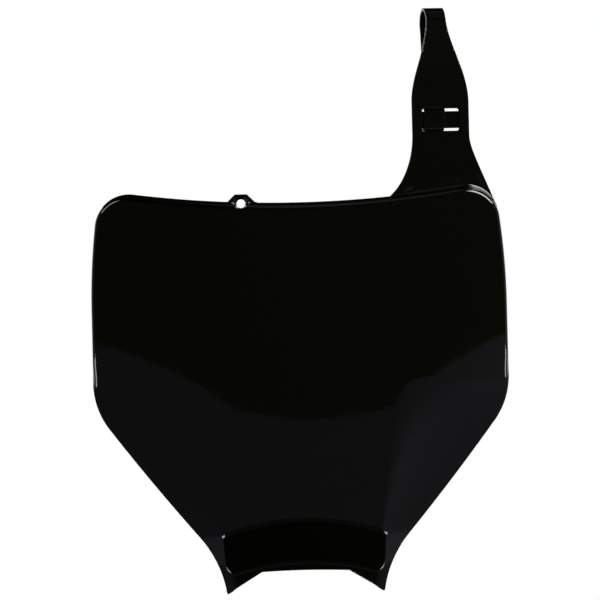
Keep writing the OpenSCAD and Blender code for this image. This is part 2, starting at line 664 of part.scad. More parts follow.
// Its sides run out into the edge of the rim in hollow fillets
tab_fillet_r = 3;
tab_fillet_c = [tab_w / 2 + tab_fillet_r * (1 - sin(tab_side_a)) / cos(tab_side_a),
    tab_base_z + tab_fillet_r];
tab_half = concat(
    [[tab_fillet_c[0], tab_root_z]],
    [for (i = [0:4]) tab_fillet_c + tab_fillet_r * turn(mix(-90, tab_side_a - 180, i / 4))],
    [for (i = [0:5]) tab_corner_c + tab_corner_r * turn(mix(tab_side_a, 90, i / 5))]
);
tab_last = len(tab_half) - 1;
tab_outline = concat(tab_half, [for (i = [tab_last:-1:0]) [-tab_half[i][0], tab_half[i][1]]]);
tab_foot_h = 3.2;
module tab() {
    foot_y = sag(tab_x) + wall * 0.7;
    translate([-tab_x, 0, 0]) {
        through(tab_y, tab_y + tab_t) polygon(tab_outline);
        translate([-tab_w / 2, foot_y, tab_root_z])
            cube([tab_w, tab_y + tab_t / 2 - foot_y, tab_foot_h]);
    }
}
// The hole with its countersink, and the seat that leads to it through the rim
tab_seat_in = 0.2;
tab_sink_d = 0.7;
module tab_hole() {
    seat_y = tab_y + tab_seat_in;
    translate([-tab_x, 0, tab_hole_z]) rotate([-90, 0, 0]) rotate_extrude() polygon([
        [0, -rim_d], [tab_seat_d / 2, -rim_d], [tab_seat_d / 2, seat_y],
        [tab_hole_d / 2, seat_y + tab_sink_d], [tab_hole_d / 2, tab_y + 2 * tab_t],
        [0, tab_y + 2 * tab_t]
    ]);
}

module number_board() {
    color([0.02, 0.02, 0.022]) difference() {
        union() {
            panel_shell();
            strap();
            tab();
        }
        tab_hole();
    }
}

number_board();
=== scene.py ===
"""Racing number board: the moulded shell in gloss black, on a white studio floor."""

import math

import bpy
import numpy as np
from mathutils import Matrix, Vector


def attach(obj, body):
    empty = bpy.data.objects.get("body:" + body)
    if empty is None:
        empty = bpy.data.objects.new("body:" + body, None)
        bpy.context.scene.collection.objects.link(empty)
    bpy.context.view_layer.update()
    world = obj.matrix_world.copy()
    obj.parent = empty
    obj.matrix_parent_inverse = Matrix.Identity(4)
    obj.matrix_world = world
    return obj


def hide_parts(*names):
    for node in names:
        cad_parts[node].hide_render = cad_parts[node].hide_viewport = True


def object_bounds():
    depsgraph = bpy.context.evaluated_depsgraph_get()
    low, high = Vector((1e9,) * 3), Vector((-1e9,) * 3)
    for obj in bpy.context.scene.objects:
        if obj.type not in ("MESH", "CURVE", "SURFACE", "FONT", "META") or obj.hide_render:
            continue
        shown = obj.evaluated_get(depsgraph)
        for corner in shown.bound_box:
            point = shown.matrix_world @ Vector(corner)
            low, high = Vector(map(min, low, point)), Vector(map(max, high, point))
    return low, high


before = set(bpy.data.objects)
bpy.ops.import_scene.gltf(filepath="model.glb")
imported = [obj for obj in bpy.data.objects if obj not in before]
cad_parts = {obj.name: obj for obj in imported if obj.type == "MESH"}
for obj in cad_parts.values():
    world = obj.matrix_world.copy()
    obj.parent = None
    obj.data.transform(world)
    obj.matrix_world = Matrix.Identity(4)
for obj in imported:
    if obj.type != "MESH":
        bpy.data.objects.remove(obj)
cad_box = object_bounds()

MM = 0.001

# Sizes, in mm, as in the CAD source
panel_w, panel_h = 250.4, 219.1
top_edge_r, corner_r, corner_in, side_r = 672.0, 21.0, 3.1, 420.0
shoulder_z, shoulder_r, slope_bow = 113.0, 47.0, 0.8
face_r, wall = 420.0, 2.2
crease_top_x, crease_top_z, crease_low_x, crease_low_z = 66.0, 111.0, 47.5, 20.0
crease_soft_top, crease_soft_low = 8.0, 2.0
wing_sweep, prong_sweep = 33.0, 25.0
prong_w, prong_drop, prong_lean, neck_r = 94.2, 13.5, 11.0, 70.0
lip_w, lip_arch, neck_wall_w = 52.0, 0.7, 5.0
chin_lean, chin_top_z, chin_low_z, chin_arch = 15.0, 27.0, 5.0, 8.0
chin_soft_top, chin_soft_low = 3.0, 2.0
crease_bend, neck_blend = 5.0, 1.0
rim_d, roll_r, rim_lean_top, rim_lean_side = 6.0, 3.0, 68.0, 86.0
rim_end_z, rim_fade, edge_w, edge_turn = 96.0, 30.0, 0.6, 5.0
strap_x, strap_w, strap_t, foot_r = 87.7, 35.1, 1.8, 2.0
root_x, root_angle, root_lean, flare_top_z, taper_z = 56.3, 22.0, 40.0, 257.6, 277.5
root_mid_share, foot_thin = 0.42, 0.1
loop_bend_z, loop_lean, leg_bend_r = 300.0, 12.0, 60.0
loop_top_z, loop_w, loop_r = 334.4, 12.0, 8.0
window_w, window_h, window_z, window_r = 22.5, 13.4, 266.6, 1.2
slit_h, bar_t, bar_lap, seat_gap = 1.6, 1.8, 2.4, 0.25
tail_w, tail_t, tail_shift, tail_end, tail_end_r = 13.4, 1.2, 3.9, 12.0, 3.0
weave_a, bend_r, bend_over, loop_full = 72.0, 12.0, 1.0, 5.0
tab_x, tab_h, tab_w, tab_top_w, tab_t = 33.4, 4.6, 17.5, 5.6, 2.8
tab_hole_d, tab_hole_drop, tab_seat_d = 5.2, 5.6, 7.2
tab_corner_r, tab_foot_r, tab_set_in, tab_root_h, tab_foot_h = 2.2, 3.0, 1.8, 6.0, 3.2
seat_depth, sink_d = 0.2, 0.7
half_w = panel_w / 2
corner_mid_a = 52.0

# Finer than the CAD: this many cells stand for one of its cells
Q = 4
# Radius of the rounded open edges, and its largest share of the thickness
EDGE, EDGE_SHARE = 0.4, 0.4
tab_edge_r, foot_edge_r, bar_edge_r = 0.35, 0.2, 0.3


# Plain helpers
def sin(a):
    return np.sin(np.radians(a))


def cos(a):
    return np.cos(np.radians(a))


def tan(a):
    return np.tan(np.radians(a))


def mix(a, b, t):
    return a + (b - a) * t


def clamp01(t):
    return np.clip(t, 0.0, 1.0)


def ease(t):
    s = clamp01(t)
    return s * s * (3 - 2 * s)


def softmin(a, b, k):
    """The smaller of two values, blended over the width k."""
    return (a + b - np.sqrt((a - b) ** 2 + k * k)) / 2


def ramp(d, e):
    """Nothing below zero and d above it, with a soft bend from -e to e."""
    return np.where(d <= -e, 0.0, np.where(d >= e, d, (d + e) ** 2 / (4 * e)))


def turn(a):
    """The direction at an angle."""
    return np.stack([cos(a), sin(a)], -1)


def unit(v):
    return v / np.linalg.norm(v, axis=-1, keepdims=True)


# The face
corner_x = half_w - corner_in - corner_r
top_cz = panel_h + top_edge_r
corner_c = np.array([corner_x,
                     top_cz - math.sqrt((top_edge_r + corner_r) ** 2 - corner_x**2)])
bow_run = side_r - corner_r
bow_c = np.array([half_w - side_r,
                  corner_c[1] - math.sqrt(bow_run**2 - (bow_run - corner_in) ** 2)])
shoulder_c = np.array([half_w - shoulder_r, shoulder_z])
prong = np.array([prong_w / 2, -prong_drop])
neck_c = prong + neck_r * turn(-prong_lean)
corner_low_a = math.degrees(math.asin((corner_c[1] - bow_c[1]) / bow_run))
corner_top_a = 90 + math.degrees(math.asin(corner_x / (top_edge_r + corner_r)))
neck_run = neck_c - shoulder_c
slope_a = -math.degrees(math.atan2(neck_run[1], neck_run[0])) - math.degrees(
    math.acos((shoulder_r + neck_r) / np.linalg.norm(neck_run)))


def sag(x):
    """How far the curved face lies behind its middle line."""
    return face_r - np.sqrt(face_r**2 - x * x)


def neck_edge_x(z):
    return neck_c[0] - np.sqrt(np.maximum(1, neck_r**2 - (z - neck_c[1]) ** 2))


crease_splay = (crease_top_x - crease_low_x) / (crease_top_z - crease_low_z)


def crease_x(z):
    """Where the face folds back into its side wings."""
    straight = crease_low_x + crease_splay * ramp(np.minimum(z, crease_top_z) - crease_low_z,
                                                  crease_bend)
    beside_neck = softmin(straight, neck_edge_x(z) - neck_wall_w, neck_blend)
    return np.where(z > crease_low_z + 2 * crease_bend, straight, beside_neck)


def crease_soft(z):
    return mix(crease_soft_low, crease_soft_top,
               clamp01((z - crease_low_z) / (crease_top_z - crease_low_z)))


def wing_slope(z):
    down = clamp01((crease_top_z - z) / (crease_top_z - crease_low_z))
    low = ease((crease_low_z - z) / (crease_low_z + prong_drop))
    return tan(wing_sweep) * down**1.3 + tan(prong_sweep) * low


def chin(x, z):
    across = np.minimum(np.abs(x), crease_x(z)) / crease_low_x
    drop = chin_arch * across * across
    return tan(chin_lean) * (ramp(chin_top_z - drop - z, chin_soft_top)
                             - ramp(chin_low_z - drop - z, chin_soft_low))


def face_y(x, z):
    return sag(x) + wing_slope(z) * ramp(np.abs(x) - crease_x(z), crease_soft(z)) - chin(x, z)


def face_slope(p):
    h = 0.05
    x, z = p[..., 0], p[..., 1]
    return np.stack([(face_y(x + h, z) - face_y(x - h, z)) / (2 * h),
                     (face_y(x, z + h) - face_y(x, z - h)) / (2 * h)], -1)


def face_normal(p):
    s = face_slope(p)
    return unit(np.stack([s[..., 0], -np.ones_like(s[..., 0]), s[..., 1]], -1))


def on_face(p):
    return np.stack([p[..., 0], face_y(p[..., 0], p[..., 1]), p[..., 1]], -1)


# The outline's right half
lip_c, side_c, crease_c, outer_c, cornertop_c = 5 * Q, 3 * Q, 3 * Q, 3 * Q, 5 * Q
crease_k0 = lip_c + side_c
crease_k1 = crease_k0 + crease_c
half_n = crease_k1 + outer_c + cornertop_c
neck_n, slope_n, shoulder_n, upright_n, bow_n, cornerlow_n, cornermid_n = (
    8 * Q, 7 * Q, 5 * Q, 3 * Q, 3 * Q, 2 * Q, 3 * Q)
rows = neck_n + slope_n + shoulder_n + upright_n + bow_n + cornerlow_n + cornermid_n


def arc_nodes(c, r, a0, a1, n, first=1):
    """Points along an arc of the outline, and their outward directions."""
    d = turn(mix(a0, a1, np.arange(first, n + 1) / n))
    return c + r * d, d


slope_d = turn(-slope_a)
slope_low = neck_c - neck_r * slope_d
slope_top = shoulder_c + shoulder_r * slope_d
t_slope = (np.arange(1, slope_n + 1) / slope_n)[:, None]
t_up = np.arange(1, upright_n + 1) / upright_n
side_parts = [
    arc_nodes(neck_c, -neck_r, -prong_lean, -slope_a, neck_n, 0),
    (mix(slope_low, slope_top, t_slope) + slope_bow * 4 * t_slope * (1 - t_slope) * slope_d,
     np.repeat(slope_d[None], slope_n, 0)),
    arc_nodes(shoulder_c, shoulder_r, -slope_a, 0, shoulder_n),
    (np.stack([np.full(upright_n, half_w), mix(shoulder_z, bow_c[1], t_up)], -1),
     np.repeat([[1.0, 0.0]], upright_n, 0)),
    arc_nodes(bow_c, side_r, 0, corner_low_a, bow_n),
    arc_nodes(corner_c, corner_r, corner_low_a, root_angle, cornerlow_n),
    arc_nodes(corner_c, corner_r, root_angle, corner_mid_a, cornermid_n),
]
side_p = np.concatenate([a for a, b in side_parts])
side_m = np.concatenate([b for a, b in side_parts])

top_joint_x = corner_c[0] + corner_r * cos(corner_top_a)
root_mid_x = mix(root_x, top_joint_x, root_mid_share)
k = np.arange(half_n - cornertop_c + 1)
top_run_x = np.interp(k, [0, crease_k0, crease_k1, half_n - cornertop_c],
                      [0, root_x, root_mid_x, top_joint_x])
top_run = np.stack([top_run_x, top_cz - np.sqrt(top_edge_r**2 - top_run_x**2)], -1)
corner_p, corner_m = arc_nodes(corner_c, corner_r, corner_top_a, corner_mid_a, cornertop_c)
top_p = np.concatenate([top_run, corner_p])
top_m = np.concatenate([unit(np.array([0, top_cz]) - top_run), corner_m])

lip_end = np.array([lip_w / 2, -lip_arch])
notch_run = unit(prong - lip_end)
notch_d = np.array([notch_run[1], -notch_run[0]])
crease_foot = [crease_x(-prong_drop) - crease_soft_low, crease_x(-prong_drop) + crease_soft_low]


def miter(a, b):
    """The direction that keeps both neighbours at their distance in a corner."""
    m = unit(a + b)
    return m / np.dot(m, a)


k = np.arange(half_n + 1)
nx = np.interp(k, [lip_c, crease_k0, crease_k1, half_n],
               [lip_end[0], crease_foot[0], crease_foot[1], prong[0]])
bottom_p = np.zeros((half_n + 1, 2))
bottom_m = np.zeros((half_n + 1, 2))
low = k <= lip_c
bottom_p[low] = np.stack([lip_end[0] * k[low] / lip_c, -lip_arch * (k[low] / lip_c) ** 2], -1)
bottom_m[low] = [0, -1]
notch_t = ((nx - lip_end[0]) / (prong[0] - lip_end[0]))[:, None]
bottom_p[~low] = mix(lip_end, prong, notch_t)[~low]
bottom_m[~low] = notch_d
bottom_m[lip_c] = miter(np.array([0.0, -1.0]), notch_d)
bottom_m[half_n] = miter(notch_d, side_m[0])


# The rolled edge
def rim_at(p, md):
    """The angles at which the rolled edge starts and ends, and its flange's length."""
    m = unit(md)
    start = np.degrees(np.arctan(np.sum(face_slope(p) * m, -1)))
    full = mix(rim_lean_side, rim_lean_top, np.maximum(0, m[..., 1]) ** 2)
    share = np.where(p[..., 1] > rim_end_z + rim_fade, 1.0,
                     ease((p[..., 1] - rim_end_z) / rim_fade))
    end = mix(start + edge_turn, full, share)
    long = (rim_d - roll_r * (cos(start) - cos(full))) / sin(full)
    return start, end, mix(edge_w, long, share)


def inset(p, md):
    """Where the face ends and the roll starts, for a point of the outline."""
    a0, a1, long = rim_at(p, md)
    return p - (roll_r * (sin(a1) - sin(a0)) + long * cos(a1))[..., None] * md


side_in, top_in, bottom_in = inset(side_p, side_m), inset(top_p, top_m), inset(bottom_p, bottom_m)

# How far up the lower edge shapes the grid, how far down the upper one, and how the outer
# columns crowd
low_reach, top_reach, crowd = 120, 60, 0.4
low_share = clamp01(1 - (side_in[:, 1] - side_in[0, 1]) / low_reach) ** 2
top_share = clamp01(1 - (side_in[rows, 1] - side_in[:, 1]) / top_reach) ** 2
col_id, row_id = np.meshgrid(np.arange(half_n + 1), np.arange(rows + 1))
edge_x, edge_z = side_in[row_id, 0], side_in[row_id, 1]
cx, ce = crease_x(edge_z), crease_soft(edge_z)
outer_t = (col_id - crease_k1) / (half_n - crease_k1)
in_crease = mix(cx - ce, cx + ce, (col_id - crease_k0) / crease_c)
beside_crease = mix(cx + ce, edge_x, outer_t * (1 + crowd - crowd * outer_t))
plain = np.where(col_id <= crease_k0, (cx - ce) * col_id / crease_k0,
                 np.where(col_id <= crease_k1, in_crease, beside_crease))
low_s, top_s = low_share[row_id], top_share[row_id]
from_low = bottom_in[col_id, 0] * edge_x / bottom_in[half_n, 0]
from_top = top_in[col_id, 0] * edge_x / top_in[half_n, 0]
gx = plain + low_s**4 * (from_low - plain) + top_s * (from_top - plain)
gz = (edge_z + low_s * (bottom_in[col_id, 1] - bottom_in[half_n, 1])
      + top_s * (top_in[col_id, 1] - top_in[half_n, 1]))
gx[0], gx[rows] = bottom_in[:, 0], top_in[:, 0]
across = 2 * half_n
grid = np.zeros((rows + 1, across + 1, 2))
grid[:, half_n:, 0], grid[:, half_n:, 1] = gx, gz
grid[:, :half_n, 0], grid[:, :half_n, 1] = -gx[:, :0:-1], gz[:, :0:-1]


def both(p, sign_first):
    """The right half and its mirror image as one run."""
    if sign_first:
        return np.concatenate([p[:0:-1] * [-1, 1], p])
    return np.concatenate([p[::-1], p[1:] * [-1, 1]])


loop_p = np.concatenate([both(bottom_p, True), side_p[1:], both(top_p, False)[1:],
                         (side_p * [-1, 1])[rows - 1:0:-1]])
loop_m = np.concatenate([both(bottom_m, True), side_m[1:], both(top_m, False)[1:],
                         (side_m * [-1, 1])[rows - 1:0:-1]])
loop_g = ([(c, 0) for c in range(across + 1)] + [(across, j) for j in range(1, rows + 1)]
          + [(c, rows) for c in range(across - 1, -1, -1)]
          + [(0, j) for j in range(rows - 1, 0, -1)])
edge_n = len(loop_p)
assert len(loop_g) == edge_n and len(loop_m) == edge_n
loop_ids = np.array(loop_g)
base = on_face(grid[loop_ids[:, 1], loop_ids[:, 0]])
roll_a0, roll_a1, flange_len = rim_at(loop_p, loop_m)
root_first = across + rows - cornermid_n
root_last = across + rows + cornertop_c + outer_c + crease_c
root_len = root_last - root_first


def beyond(i, out, back):
    """Points of the face's edge, moved outwards and back."""
    return base[i] + np.stack([out * loop_m[i, 0], back, out * loop_m[i, 1]], -1)


def bent_normal(i, a):
    """The skin's normal where the roll has turned by an angle."""
    m = unit(loop_m[i])
    return np.stack([sin(a) * m[..., 0], -cos(a), sin(a) * m[..., 1]], -1)


def roll_point(i, a):
    return beyond(i, roll_r * (sin(a) - sin(roll_a0[i])), roll_r * (cos(roll_a0[i]) - cos(a)))


all_i = np.arange(edge_n)
roll_n, flange_n = 14, 3
skin, nrm = [], []
skin.append(on_face(grid).reshape(-1, 3))
nrm.append(face_normal(grid).reshape(-1, 3) * wall)
for q in range(1, roll_n + 1):
    a = mix(roll_a0, roll_a1, q / roll_n)
    skin.append(roll_point(all_i, a))
    nrm.append(bent_normal(all_i, a) * wall)
end_n = bent_normal(all_i, roll_a1)
flange_d = np.stack([cos(roll_a1) * loop_m[:, 0], sin(roll_a1), cos(roll_a1) * loop_m[:, 1]], -1)
for q in range(1, flange_n + 1):
    skin.append(roll_point(all_i, roll_a1) + (flange_len * q / flange_n)[:, None] * flange_d)
    nrm.append(end_n * wall)
rim_end = skin[-1]
rim_rings = roll_n + flange_n

# The foot and the root of the strap
strap_turn = math.degrees(math.asin(strap_x / face_r))
strap_back = rim_d + foot_r * (1 - cos(rim_lean_top))
strap_y = sag(strap_x) + strap_back
strap_normal = np.array([sin(strap_turn), -cos(strap_turn), 0.0])


def strap_plane_y(x):
    return strap_y + tan(strap_turn) * (x - strap_x)


root_k = np.arange(root_len + 1)
root_i = root_first + root_k
# The fillet thins out towards both ends of the root
fillet_r = (foot_r * mix(foot_thin, 1, ease(root_k / (cornermid_n + Q)))
            * mix(foot_thin, 1, ease((root_len - root_k) / crease_c)))
f_stop = np.degrees(np.arctan(tan(strap_turn) * loop_m[root_i, 0]))
foot_n, root_n = 8, 26
for q in range(1, foot_n + 1):
    a = mix(roll_a1[root_i], f_stop, q / foot_n)
    out = fillet_r * (sin(roll_a1[root_i]) - sin(a))
    back = fillet_r * (cos(a) - cos(roll_a1[root_i]))
    skin.append(rim_end[root_i] + np.stack([out * loop_m[root_i, 0], back,
                                            out * loop_m[root_i, 1]], -1))
    nrm.append(bent_normal(root_i, a) * wall)
foot_end, foot_nrm = skin[-1], unit(nrm[-1])


def bezier(a, b, c, d, t):
    return (1 - t) ** 3 * a + 3 * t * (1 - t) ** 2 * b + 3 * t * t * (1 - t) * c + t**3 * d


def strap_edge_x(side):
    return strap_x + side * strap_w / 2 * cos(strap_turn)


def flare(side, t):
    """A point on one side edge of the strap's root, as seen from the front."""
    f = foot_end[0 if side > 0 else root_len]
    start, end = np.array([f[0], f[2]]), np.array([strap_edge_x(side), flare_top_z])
    tall = end[1] - start[1]
    lean = turn(90 + root_angle) if side > 0 else turn(root_lean)
    # the curve's inner points stand this far from its ends, as shares of its height
    near, far = (0.69, 0.18) if side > 0 else (0.28, 0.42)
    return bezier(start, start + tall * near * lean, end - [0, far * tall], end, t)


u = (root_k / root_len)[:, None]
foot_xz = foot_end[:, [0, 2]]
lift = foot_end[:, 1] - strap_plane_y(foot_end[:, 0])
for r in range(1, root_n + 1):
    t = r / root_n
    bow = foot_xz - mix(foot_xz[0], foot_xz[-1], u)
    xz = mix(flare(1, t), flare(-1, t), u) + (1 - t) ** 2 * bow
    y = strap_plane_y(xz[:, 0]) + (1 - t) ** 2 * lift
    skin.append(np.stack([xz[:, 0], y, xz[:, 1]], -1))
    nrm.append(unit(mix(foot_nrm, strap_normal, ease(t))) * mix(wall, strap_t, ease(t)))
u_root = (skin[-1][:, 0] - strap_edge_x(1)) / (strap_edge_x(-1) - strap_edge_x(1))

# The strap, its loop and its threaded tail
loop_out_r, loop_mid_r = loop_r + strap_t, loop_r + strap_t / 2
loop_z = loop_top_z - loop_out_r
loop_cc = np.array([loop_out_r / cos(loop_lean) + (loop_z - loop_bend_z) * tan(loop_lean),
                    loop_z])
leg_out_r = leg_bend_r + strap_t / 2
leg_bend_c = np.array([leg_out_r, loop_bend_z - leg_out_r * tan(loop_lean / 2)])
loop_full_z = loop_top_z - loop_full
window_top, window_low = window_z + window_h / 2, window_z - window_h / 2
bar_top, bar_low = window_top - slit_h, window_low + slit_h
tail_behind = strap_t + seat_gap + tail_t / 2
tail_inside = strap_t - seat_gap - tail_t / 2
weave_r = (tail_behind - tail_inside) / (2 * (1 - cos(weave_a)))
weave_h = weave_r * sin(weave_a)
slit_top_z, slit_low_z = window_top - slit_h / 2, window_low + slit_h / 2
bend_c = np.array([tail_behind + bend_r, slit_top_z + weave_h + bend_over])
loop_run = loop_cc - bend_c
run_lean = math.degrees(math.atan2(loop_run[0], loop_run[1])) + math.degrees(
    math.asin((bend_r + loop_mid_r) / np.linalg.norm(loop_run)))
tail_low_z = window_low - tail_end
tail_turn_z = loop_z - loop_mid_r / 2


def taper_half(z):
    """Half the strap's width at a height."""
    return mix(strap_w, loop_w, ease((z - taper_z) / (loop_full_z - taper_z))) / 2


# Each row of the strap: outer point in side view, its normal, thickness, half width and offset
strap_rows = []
row_step, row_gap, bend_gap = 1.0, 0.8, 0.3
leg_z = list(np.arange(flare_top_z + row_step, window_low - row_gap, row_step))
win_z = list(np.linspace(window_low - EDGE, window_top + EDGE, 26))
up_z = list(np.arange(window_top + EDGE + row_gap, leg_bend_c[1] - bend_gap, row_step))
for v in leg_z + win_z + up_z:
    strap_rows.append((np.array([0.0, v]), np.array([-1.0, 0.0]), strap_t,
                       taper_half(max(v, taper_z)), 0.0))
win_rows = (len(leg_z), len(leg_z) + len(win_z) - 1)
leg_rows = [(leg_bend_c + leg_out_r * turn(a), turn(a))
            for a in np.linspace(180, 180 - loop_lean, 10)]
ring_first = loop_cc + loop_out_r * turn(180 - loop_lean)
leg_rows += [(mix(leg_rows[-1][0], ring_first, t), turn(180 - loop_lean))
             for t in np.linspace(0, 1, 20)[1:-1]]
for p, d in leg_rows:
    strap_rows.append((p, d, strap_t, taper_half(p[1]), 0.0))
for a in np.linspace(180 - loop_lean, -run_lean, 64):
    d = turn(a)
    p = loop_cc + loop_out_r * d
    hw = taper_half(min(p[1], loop_full_z)) if a > 90 else loop_w / 2
    strap_rows.append((p, d, strap_t, hw, 0.0))


def tail_x(z):
    """How far the tail is shifted sideways at a height."""
    return -tail_shift * max(0.0, tail_turn_z - z) / (tail_turn_z - window_z)


mid = []
p_loop = loop_cc + loop_mid_r * turn(-run_lean)
p_bend = bend_c - bend_r * turn(-run_lean)
for t in np.linspace(0, 1, 40)[1:-1]:
    mid.append((mix(p_loop, p_bend, t), turn(-run_lean), mix(strap_t, tail_t, ease(t))))


def add_arc(c, r, a0, a1, n):
    """Adds an arc to the tail's middle line."""
    for a in np.linspace(a0, a1, n):
        mid.append((np.array(c) + r * turn(a), turn(a), tail_t))


# The second arc of each weave leaves out the degrees at which it meets the first
weave_skip = 8
add_arc(bend_c, -bend_r, -run_lean, 0, 8)
add_arc([tail_behind - weave_r, slit_top_z + weave_h], weave_r, 0, -weave_a, 8)
add_arc([tail_inside + weave_r, slit_top_z - weave_h], -weave_r, weave_skip - weave_a, 0, 8)
for v in np.linspace(slit_top_z - weave_h, slit_low_z + weave_h, 12)[1:-1]:
    mid.append((np.array([tail_inside, v]), turn(0), tail_t))
add_arc([tail_inside + weave_r, slit_low_z + weave_h], -weave_r, 0, weave_a, 8)
add_arc([tail_behind - weave_r, slit_low_z - weave_h], weave_r, weave_a - weave_skip, 0, 8)
for v in np.linspace(slit_low_z - weave_h, tail_low_z + tail_end_r, 14)[1:]:
    mid.append((np.array([tail_behind, v]), turn(0), tail_t))
for a in (20, 40, 60, 75, 88):
    mid.append((np.array([tail_behind, tail_low_z + tail_end_r * (1 - sin(a))]), turn(0), tail_t))
for p, d, th in mid:
    dz = p[1] - tail_low_z
    widen = clamp01((dz - tail_end_r) / (tail_turn_z - tail_low_z - tail_end_r))
    hw = mix(tail_w, loop_w, widen) / 2
    if dz < tail_end_r:
        hw = tail_w / 2 - tail_end_r + math.sqrt(max(0.0, tail_end_r**2 - (tail_end_r - dz) ** 2))
    strap_rows.append((p + d * th / 2, d, th, hw, tail_x(p[1])))

# The columns draw together beside the window, so that its sides run between cells
u_even = np.linspace(0, 1, root_len + 1)
side_band = (strap_w - window_w) / 2 - EDGE
col0 = int(round(side_band / strap_w * root_len))
u_win = np.interp(np.arange(root_len + 1), [0, col0, root_len - col0, root_len],
                  [0, side_band / strap_w, 1 - side_band / strap_w, 1])
strap_cos, strap_sin = cos(strap_turn), sin(strap_turn)


def to_world(lx, ly, lz):
    """From the strap's own axes to the part's."""
    return np.stack(np.broadcast_arrays(strap_x + lx * strap_cos - ly * strap_sin,
                                        strap_y + lx * strap_sin + ly * strap_cos, lz), -1)


# How far from the window the columns draw together, how many rows above it they may, and how
# far above the flare they are even
draw_reach, draw_rows, even_reach = 17, 30, 6
for idx, (p, d, th, hw, ox) in enumerate(strap_rows):
    on_leg = idx <= win_rows[1] + draw_rows and p[0] < 0.01
    near = ease(1 - abs(p[1] - window_z) / draw_reach) if on_leg else 0.0
    if win_rows[0] <= idx <= win_rows[1]:
        near = 1.0
    start_mix = ease((p[1] - flare_top_z) / even_reach) if idx < win_rows[0] else 1.0
    u_row = mix(mix(u_root, u_even, start_mix), u_win, near)
    lx = ox + hw * (1 - 2 * u_row)
    lz = np.full_like(lx, p[1])
    if win_rows[0] <= idx <= win_rows[1]:
        # round the window's corners
        rr = window_r + EDGE
        qx, qz = window_w / 2 + EDGE - rr, window_h / 2 + EDGE - rr
        on_edge_row = idx in win_rows
        for c in range(col0, root_len - col0 + 1):
            if not (on_edge_row or c in (col0, root_len - col0)):
                continue
            ex, ez = abs(lx[c]) - qx, abs(p[1] - window_z) - qz
            if ex > 0 and ez > 0:
                f = rr / math.hypot(ex, ez)
                lz[c] = window_z + math.copysign(qz + ez * f, p[1] - window_z)
                lx[c] = math.copysign(qx + ex * f, lx[c])
    skin.append(to_world(lx, p[0], lz))
    n = np.array([-d[0] * strap_sin, d[0] * strap_cos, d[1]])
    nrm.append(np.repeat(n[None] * th, root_len + 1, 0))
strap_n = len(strap_rows)

# One welded skin, front and back
outer = np.concatenate(skin)
inward = np.concatenate(nrm)
n_skin = len(outer)
grid_n = (across + 1) * (rows + 1)


def ring(q, i):
    """The vertex at place i of the rim's ring q; ring 0 is the face's edge."""
    i = i % edge_n
    return loop_g[i][1] * (across + 1) + loop_g[i][0] if q == 0 else grid_n + (q - 1) * edge_n + i


def root(q, s):
    """The vertex at place s of the strap's row q; row 0 is the end of the rim."""
    if q == 0:
        return ring(rim_rings, root_first + s)
    return grid_n + rim_rings * edge_n + (q - 1) * (root_len + 1) + s


root_rows = foot_n + root_n + strap_n
faces = []
for j in range(rows):
    for c in range(across):
        a = j * (across + 1) + c
        faces.append((a, a + 1, a + across + 2, a + across + 1))
for q in range(rim_rings):
    for i in range(edge_n):
        faces.append((ring(q, i), ring(q + 1, i), ring(q + 1, i + 1), ring(q, i + 1)))
hole_r0, hole_r1 = (foot_n + root_n + row + 1 for row in win_rows)
for q in range(root_rows):
    for s in range(root_len):
        if hole_r0 <= q < hole_r1 and col0 <= s < root_len - col0:
            continue
        faces.append((root(q, s), root(q + 1, s), root(q + 1, s + 1), root(q, s + 1)))
faces += [tuple(v + n_skin for v in f[::-1]) for f in faces]

outer_path = ([ring(rim_rings, i) for i in range(root_last, root_first + edge_n)]
              + [root(q, 0) for q in range(0, root_rows + 1)]
              + [root(root_rows, s) for s in range(1, root_len + 1)]
              + [root(q, root_len) for q in range(root_rows - 1, 0, -1)])
c1 = root_len - col0
window_path = ([root(hole_r0, s) for s in range(c1, col0, -1)]
               + [root(q, col0) for q in range(hole_r0, hole_r1)]
               + [root(hole_r1, s) for s in range(col0, c1)]
               + [root(q, c1) for q in range(hole_r1, hole_r0, -1)])
# clockwise as seen from the front, so that the material lies on the left
window_path = window_path[::-1]

inner = outer - inward
extra, extra_at = [], 2 * n_skin


def close_edge(path, within):
    """Rounds the open edge between the two skins; it ends on the path, or stands out of it."""
    global extra_at
    path = np.array(path)
    o, nn = outer[path].copy(), inward[path]
    n = unit(nn)
    th = np.linalg.norm(nn, axis=1)
    # the direction of travel, evened over neighbours
    ahead_d = unit(np.roll(o, -1, 0) - np.roll(o, 1, 0))
    out = unit(np.cross(ahead_d, n))
    e = np.minimum(EDGE, th * EDGE_SHARE)[:, None]
    shift = e * out if within else 0 * out
    outer[path] = o - shift
    inner[path] = o - nn - shift
    o = o if within else o + e * out
    rings = []
    for f in (30, 60, 90):
        rings.append(o - e * out * (1 - sin(f)) - e * n * (1 - cos(f)))
    for f in (90, 60, 30):
        rings.append(o - e * out * (1 - sin(f)) - n * (th[:, None] - e * (1 - cos(f))))
    ids = [path]
    for r in rings:
        extra.append(r)
        ids.append(np.arange(extra_at, extra_at + len(path)))
        extra_at += len(path)
    ids.append(path + n_skin)
    L = len(path)
    for a, b in zip(ids[:-1], ids[1:]):
        for i in range(L):
            i2 = (i + 1) % L
            faces.append((int(a[i]), int(b[i]), int(b[i2]), int(a[i2])))


close_edge(outer_path, True)
close_edge(window_path, False)
# The finer prong tips would stand a tenth of a millimetre outside the CAD's box
verts = np.clip(np.concatenate([outer, inner] + extra) * MM,
                np.array(cad_box[0]), np.array(cad_box[1]))


def make_mesh(name, v, f):
    me = bpy.data.meshes.new(name)
    me.from_pydata([tuple(map(float, p)) for p in v], [], f)
    me.validate()
    me.update()
    ob = bpy.data.objects.new(name, me)
    bpy.context.scene.collection.objects.link(ob)
    return ob


def smooth(ob):
    ob.data.polygons.foreach_set("use_smooth", [True] * len(ob.data.polygons))
    ob.data.update()


